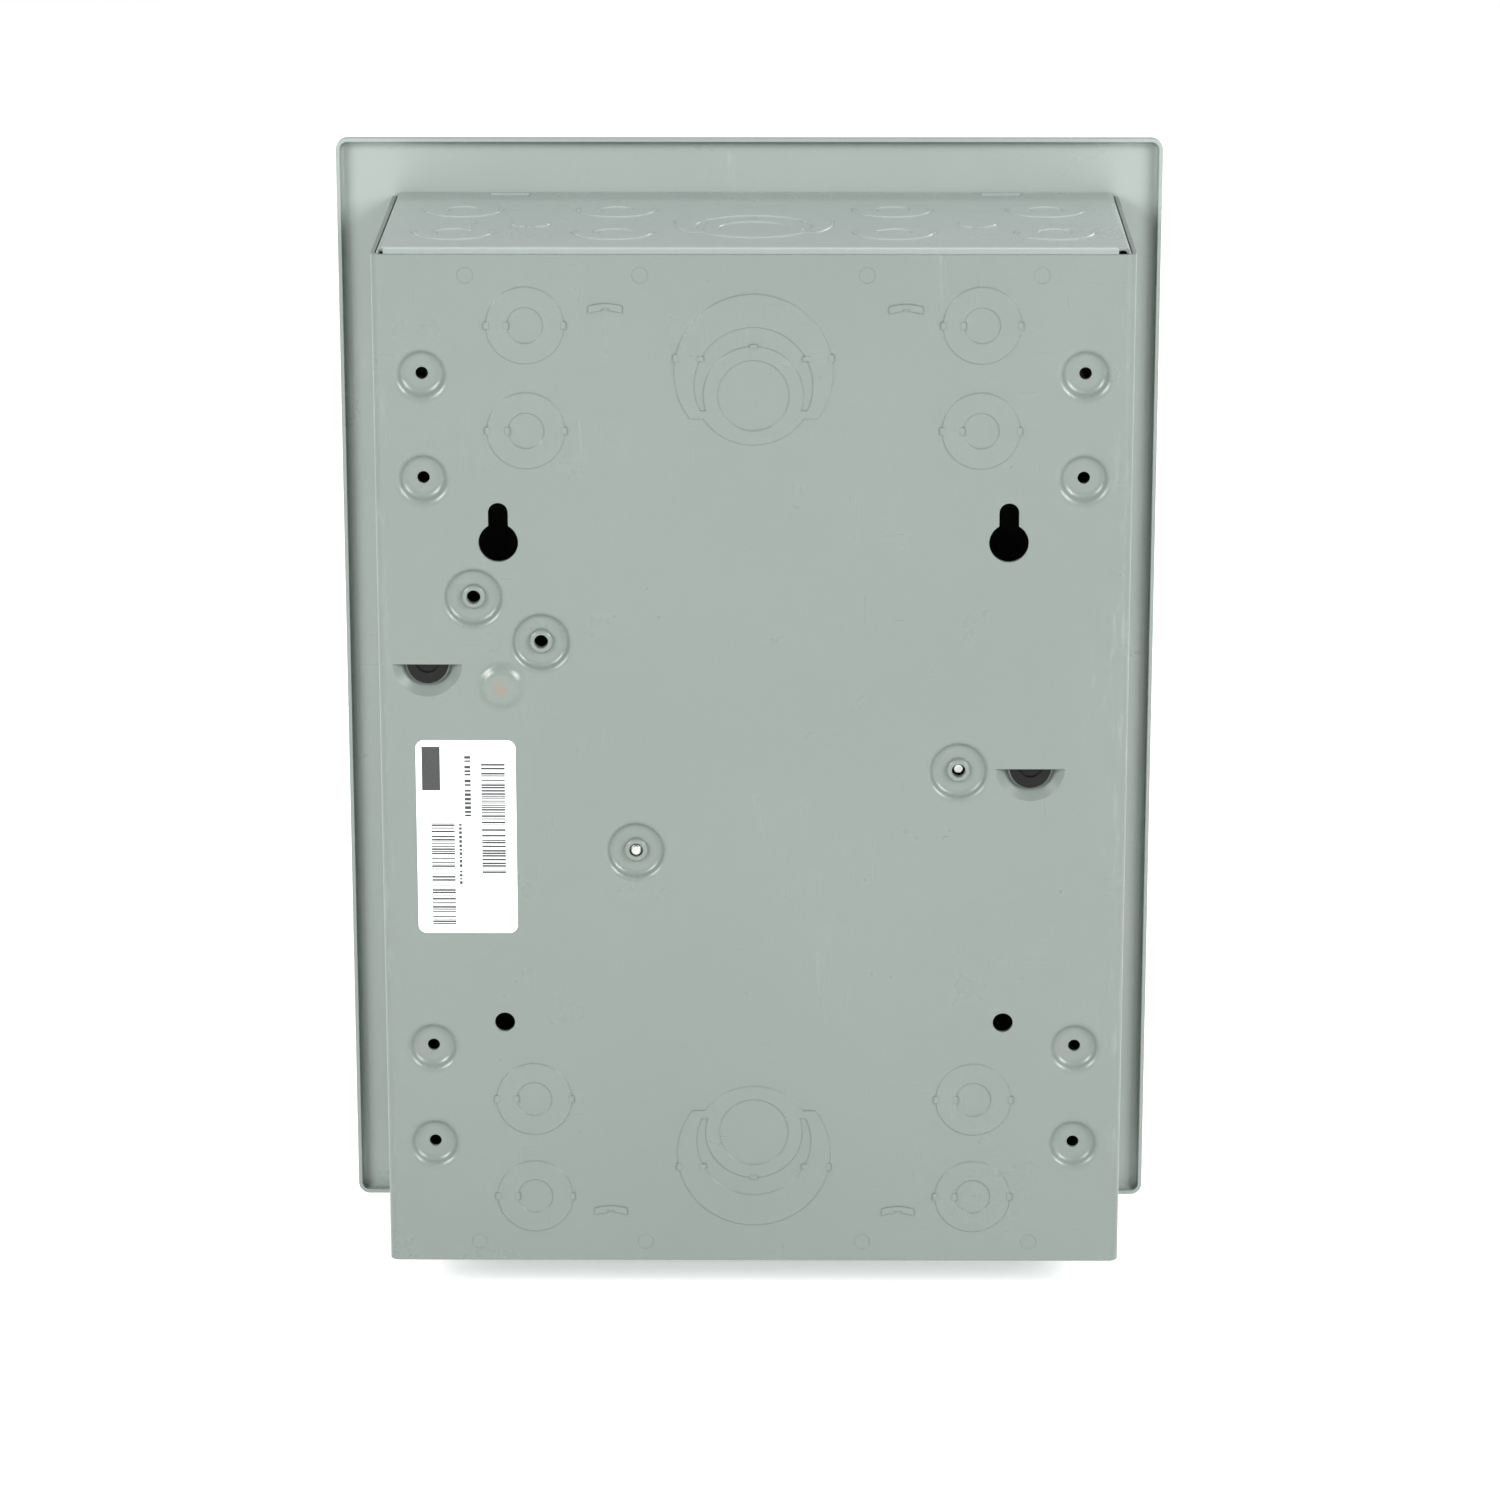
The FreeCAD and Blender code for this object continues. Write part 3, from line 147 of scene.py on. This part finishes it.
def painted_sheet(name, color, rub_zones=(), burn=None):
    """Satin enamel on steel: slight orange peel, cloudy tone, hairline scratches, pale scuffed zones, a weld burn.

    rub_zones is a list of (axis name, place where the scuffs start, place where they are fullest).
    """
    g = Graph(name)
    cloud = g.noise(9.0, 4.0, 0.6)
    speck = g.noise(1400.0, 2.0, 0.6)
    tone = g.blend(g.span(cloud, 0.3, 0.7), scaled(color, 0.965), scaled(color, 1.03))
    tone = g.blend(g.span(speck, 0.35, 0.7, 0.0, 0.5), tone, scaled(color, 0.93))
    # hairline scratches: thin level lines of a long, stretched noise, broken up by a coarser one
    hair = g.noise(1.0, 2.0, 0.5, at=g.stretched((260.0, 260.0, 9.0)))
    line = g.near(hair, 0.56, 0.004)
    broken = g.span(g.noise(26.0, 2.0), 0.56, 0.66)
    scratch = g.math("MULTIPLY", line, broken)
    cross = g.noise(1.0, 2.0, 0.5, at=g.stretched((11.0, 240.0, 240.0), (3.0, 1.0, 5.0)))
    cross_line = g.near(cross, 0.47, 0.003)
    cross_broken = g.span(g.noise(31.0, 2.0, at=g.stretched((1, 1, 1), (7, 2, 9))), 0.6, 0.68)
    cross_scratch = g.math("MULTIPLY", cross_line, cross_broken)
    marks = g.math("MAXIMUM", scratch, cross_scratch)
    tone = g.blend(g.math("MULTIPLY", marks, 0.35), tone, scaled(color, 1.35))
    rubbed = None
    for axis_name, low, high in rub_zones:
        band = g.span(g.axis(axis_name), low, high)
        patchy = g.span(g.noise(1.0, 5.0, 0.7, at=g.stretched((340.0, 340.0, 55.0))), 0.54, 0.7)
        here = g.math("MULTIPLY", band, patchy)
        rubbed = here if rubbed is None else g.math("MAXIMUM", rubbed, here)
    if rubbed is not None:
        tone = g.blend(g.math("MULTIPLY", rubbed, 0.5), tone, scaled(color, 1.45))
    if burn is not None:
        away = g.add("VectorMath", [(0, g.place), (1, burn)], operation="DISTANCE").outputs["Value"]
        spot = g.span(away, BURN_OUTER, BURN_INNER)
        scorched = g.math("MULTIPLY", spot, g.span(g.noise(900.0, 3.0, 0.7), 0.44, 0.56))
        tone = g.blend(g.math("MULTIPLY", scorched, 0.7), tone, BURN_BROWN)
    g.feed("Base Color", tone)
    rough = g.span(g.noise(34.0, 4.0, 0.65), 0.3, 0.7, 0.26, 0.36)
    g.feed("Roughness", g.math("SUBTRACT", rough, g.math("MULTIPLY", marks, 0.12)))
    peel = g.noise(520.0, 2.0, 0.5)
    g.relief([(peel, 0.22, 0.00006), (speck, 0.12, 0.00003), (marks, -0.3, 0.00003)], edge=0.00035)
    return g.material


def plated_steel(name, color, rough=0.34):
    """Zinc plating: faint cloudy tint, fine grain and turned marks."""
    g = Graph(name, Metallic=1.0)
    cloud = g.noise(160.0, 3.0, 0.6)
    tone = g.blend(g.span(cloud, 0.35, 0.65), scaled(color, 0.86), scaled(color, 1.08))
    tone = g.blend(g.span(g.noise(420.0, 3.0), 0.55, 0.75, 0.0, 0.5), tone, tint(176, 160, 118))
    g.feed("Base Color", tone)
    grain = g.noise(1.0, 3.0, 0.6, at=g.stretched((900.0, 5200.0, 900.0)))
    g.feed("Roughness", g.span(grain, 0.3, 0.7, rough - 0.08, rough + 0.12))
    g.relief([(grain, 0.25, 0.00002), (g.noise(2600.0, 2.0), 0.15, 0.00002)], edge=0.00025)
    return g.material


def drawn_metal(name, color, rough, along, tarnish):
    """Bare or tinned bar stock with draw lines along one axis, and a darker tarnish in patches."""
    g = Graph(name, Metallic=1.0)
    scale = [1500.0, 1500.0, 1500.0]
    scale["XYZ".index(along)] = 30.0
    lines = g.noise(1.0, 3.0, 0.6, at=g.stretched(scale))
    patches = g.span(g.noise(70.0, 4.0, 0.6), 0.42, 0.68)
    tone = g.blend(patches, color, tarnish)
    tone = g.blend(g.span(lines, 0.4, 0.6, 0.0, 0.35), tone, scaled(color, 0.8))
    g.feed("Base Color", tone)
    g.feed("Roughness", g.span(lines, 0.3, 0.7, rough - 0.07, rough + 0.1))
    g.relief([(lines, 0.3, 0.00002)], edge=0.0003)
    return g.material


def moulded_plastic(name, color, rough, grain_scale, grain, shine=0.5):
    """Moulded thermoset: fine grain, faint flow clouds and pale dust specks."""
    g = Graph(name, Specular_IOR_Level=shine)
    flow = g.noise(40.0, 4.0, 0.6, distortion=0.6)
    tone = g.blend(g.span(flow, 0.35, 0.65), scaled(color, 0.8), scaled(color, 1.35))
    dust = g.span(g.noise(3100.0, 1.0), 0.74, 0.8, 0.0, 0.35)
    tone = g.blend(dust, tone, scaled(color, 4.0))
    g.feed("Base Color", tone)
    g.feed("Roughness", g.span(g.noise(220.0, 3.0), 0.3, 0.7, rough - 0.06, rough + 0.08))
    g.relief([(g.noise(grain_scale, 2.0, 0.5), grain, 0.00005)], edge=0.0003)
    return g.material


def coated_paper(name, color):
    """Label stock: fibre mottle and slow waves."""
    g = Graph(name)
    fibre = g.noise(900.0, 4.0, 0.7)
    tone = g.blend(g.span(fibre, 0.35, 0.65, 0.0, 0.5), color, scaled(color, 0.955))
    tone = g.blend(g.span(g.noise(45.0, 3.0), 0.45, 0.7, 0.0, 0.4), tone, scaled(color, 0.94))
    g.feed("Base Color", tone)
    g.feed("Roughness", g.span(fibre, 0.3, 0.7, 0.36, 0.5))
    g.relief([(fibre, 0.15, 0.00002), (g.noise(60.0, 2.0), 0.2, 0.0001)])
    return g.material


def printing_ink(name):
    """Matt dark print with a fine mottle."""
    g = Graph(name)
    mottle = g.noise(2400.0, 3.0, 0.6)
    g.feed("Base Color", g.blend(g.span(mottle, 0.35, 0.7), tint(38, 40, 40), tint(58, 60, 60)))
    g.feed("Roughness", g.span(mottle, 0.3, 0.7, 0.4, 0.6))
    g.relief([(mottle, 0.1, 0.00002)])
    return g.material


half_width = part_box("enclosure_wrapper")[1].x
scuffs = [("X", -half_width + 9 * MM, -half_width + 2 * MM), ("X", half_width - 5 * MM, half_width - 1 * MM)]
enamel_box = painted_sheet("enamel_box", BOX_ENAMEL, scuffs, WELD_MARK)
# the end-wall and cover materials below are lighter copies of the box's enamel: painted light, not another paint
enamel_ends_painted_lighter = painted_sheet("enamel_ends_painted_lighter", ENDS_ENAMEL_PAINTED_LIGHTER)
enamel_cover_painted_lighter = painted_sheet("enamel_cover_painted_lighter", COVER_ENAMEL_PAINTED_LIGHTER)
zinc = plated_steel("zinc_plating", tint(196, 198, 194))
tinned = drawn_metal("tinned_bar", tint(208, 208, 202), 0.34, "Z", tint(168, 166, 156))
lug_metal = drawn_metal("lug_aluminium", tint(206, 208, 210), 0.4, "Z", tint(178, 180, 182))
copper = drawn_metal("contact_copper", tint(214, 138, 98), 0.36, "X", tint(150, 92, 66))
base_plastic = moulded_plastic("base_plastic", tint(11, 11, 12), 0.36, 1100.0, 0.2, 0.2)
case_plastic = moulded_plastic("case_plastic", tint(40, 40, 42), 0.46, 900.0, 0.3)
handle_plastic = moulded_plastic("handle_plastic", tint(30, 30, 32), 0.36, 1500.0, 0.18)
paper = coated_paper("label_paper", tint(240, 243, 242))
ink = printing_ink("label_ink")

FINISH = {"box_paint": enamel_box, "cover_paint": enamel_cover_painted_lighter, "label_paper": paper, "base_plastic": base_plastic,
          "tinned_bus": tinned, "lug_aluminium": lug_metal, "breaker_plastic": case_plastic,
          "handle_plastic": handle_plastic, "contact_copper": copper, "zinc_screw": zinc}
for part in frame["record"]["subparts"]:
    shown = FINISH[part["material_slot"]]
    # the end walls take the lighter copy of the box's enamel: painted light
    if part["node"].endswith("end_wall"):
        shown = enamel_ends_painted_lighter
    mesh = nodes[part["node"]].data
    mesh.materials.clear()
    mesh.materials.append(shown)


# ---- pieces ----------------------------------------------------------------------------------------------------------
INK_THICKNESS = 0.03 * MM
PRINT_SEED = 8
BAR_WIDTHS = (0.2, 0.2, 0.4, 0.6)           # mm, for the bars and for the gaps between them
DASH_GAPS = (0.45, 0.45, 0.45, 1.2)         # mm


def mesh_piece(name, points, faces, material, body=ROOT):
    mesh = bpy.data.meshes.new(name)
    mesh.from_pydata(points, [], faces)
    mesh.validate()
    mesh.materials.append(material)
    piece = bpy.data.objects.new(name, mesh)
    bpy.context.scene.collection.objects.link(piece)
    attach(piece, body)
    return piece


def printed_bars(name, rectangles, back):
    """Closed thin bars of ink, each (x0, x1, z0, z1), that stand out of the plane y = back."""
    points, faces = [], []
    for x0, x1, z0, z1 in rectangles:
        n = len(points)
        for y in (back, back + INK_THICKNESS):
            points += [(x0, y, z0), (x1, y, z0), (x1, y, z1), (x0, y, z1)]
        faces += [(n, n + 1, n + 2, n + 3), (n + 7, n + 6, n + 5, n + 4)]
        faces += [(n + i, n + 4 + i, n + 4 + (i + 1) % 4, n + (i + 1) % 4) for i in range(4)]
    return mesh_piece(name, points, faces, ink)


def stripes(rng, x0, x1, z_low, z_high):
    """Random bars across X, stacked along Z."""
    bars, z = [], z_low
    while z < z_high:
        width = rng.choice(BAR_WIDTHS) * MM
        bars.append((x0, x1, z, min(z + width, z_high)))
        z += width + rng.choice(BAR_WIDTHS) * MM
    return bars


# The print is a dark block, two bar codes and two columns of plain dashes. Its places are in millimetres from the
# label's side edges and its top edge.
label_low, label_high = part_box("back_label")
rng = random.Random(PRINT_SEED)
print_bars = [(label_high.x - 7.3 * MM, label_high.x - 1.8 * MM, label_high.z - 15.8 * MM, label_high.z - 2.0 * MM)]
print_bars += stripes(rng, label_low.x + 3.3 * MM, label_low.x + 10.5 * MM, label_high.z - 42.6 * MM,
                      label_high.z - 6.1 * MM)
print_bars += stripes(rng, label_high.x - 11.5 * MM, label_high.x - 4.4 * MM, label_high.z - 58.3 * MM,
                      label_high.z - 26.1 * MM)
dash_columns = ((label_low.x + 14.6 * MM, 0.95 * MM, 5.6, 24.0), (label_high.x - 13.2 * MM, 0.45 * MM, 26.5, 45.5))
for centre, half_width_x, top, bottom in dash_columns:
    z = label_high.z - bottom * MM
    while z < label_high.z - top * MM:
        dash = rng.uniform(0.5, 1.0) * MM
        print_bars.append((centre - half_width_x, centre + half_width_x, z, z + dash))
        z += dash + rng.choice(DASH_GAPS) * MM
printed_bars("label_print", print_bars, label_high.y)


# ---- stage -----------------------------------------------------------------------------------------------------------
FLOOR_HALF_SIZE = 6.0
FLOOR_GLOW = 0.4
WORLD_STRENGTH = 0.5
LIGHTS = (              # name, place, power in watts, width and height; all aim at the origin
    ("key_left", (1.34, 1.26, 0.8), 36.0, (0.8, 0.8)),
    ("key_right", (-1.38, 1.16, 0.84), 40.0, (0.84, 0.84)),
    ("fill", (-1.3, 2.4, 1.5), 6.0, (2.6, 1.6)),
    ("behind_top", (0.0, -1.2, 1.75), 12.0, (1.8, 0.5)),
    ("front_left", (-1.4, -1.9, 1.0), 12.0, (0.8, 0.8)),
    ("front_right", (1.6, -1.7, 0.8), 7.0, (0.8, 0.8)),
)
CAMERA_PLACE = (-0.01023, 1.54456, 0.45529)
CAMERA_DEGREES = (73.8043, 0.0414, -179.5918)
CAMERA_LENS = 127.94                        # mm, on a sensor 36 mm wide


def pale_floor():
    mesh = bpy.data.meshes.new("floor")
    size, level = FLOOR_HALF_SIZE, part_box("flush_cover")[0].z
    mesh.from_pydata([(-size, -size, level), (size, -size, level), (size, size, level), (-size, size, level)], [],
                     [(0, 1, 2, 3)])
    g = Graph("floor_white", Roughness=0.9, Emission_Color=(1, 1, 1, 1), Emission_Strength=FLOOR_GLOW)
    grain = g.noise(30.0, 3.0)
    g.feed("Base Color", g.blend(grain, (0.88, 0.88, 0.88, 1), (0.9, 0.9, 0.9, 1)))
    mesh.materials.append(g.material)
    floor = bpy.data.objects.new("floor", mesh)
    bpy.context.scene.collection.objects.link(floor)


def soft_light(name, position, power, size):
    light = bpy.data.lights.new(name, "AREA")
    light.shape = "RECTANGLE"
    light.size, light.size_y = size
    light.energy = power
    lamp = bpy.data.objects.new(name, light)
    lamp.location = position
    lamp.rotation_euler = (-Vector(position)).to_track_quat("-Z", "Y").to_euler()
    bpy.context.scene.collection.objects.link(lamp)


pale_floor()
world = bpy.data.worlds.new("studio")
world.use_nodes = True
background = world.node_tree.nodes["Background"]
background.inputs["Color"].default_value = (1.0, 1.0, 1.0, 1.0)
background.inputs["Strength"].default_value = WORLD_STRENGTH
bpy.context.scene.world = world
for light_row in LIGHTS:
    soft_light(*light_row)

camera_data = bpy.data.cameras.new("camera")
camera_data.sensor_width = 36.0
camera_data.lens = CAMERA_LENS
camera_data.clip_start, camera_data.clip_end = 0.05, 20.0
camera = bpy.data.objects.new("camera", camera_data)
camera.location = CAMERA_PLACE
camera.rotation_euler = [math.radians(angle) for angle in CAMERA_DEGREES]
bpy.context.scene.collection.objects.link(camera)
bpy.context.scene.camera = camera
bpy.context.scene.view_settings.view_transform = "Standard"
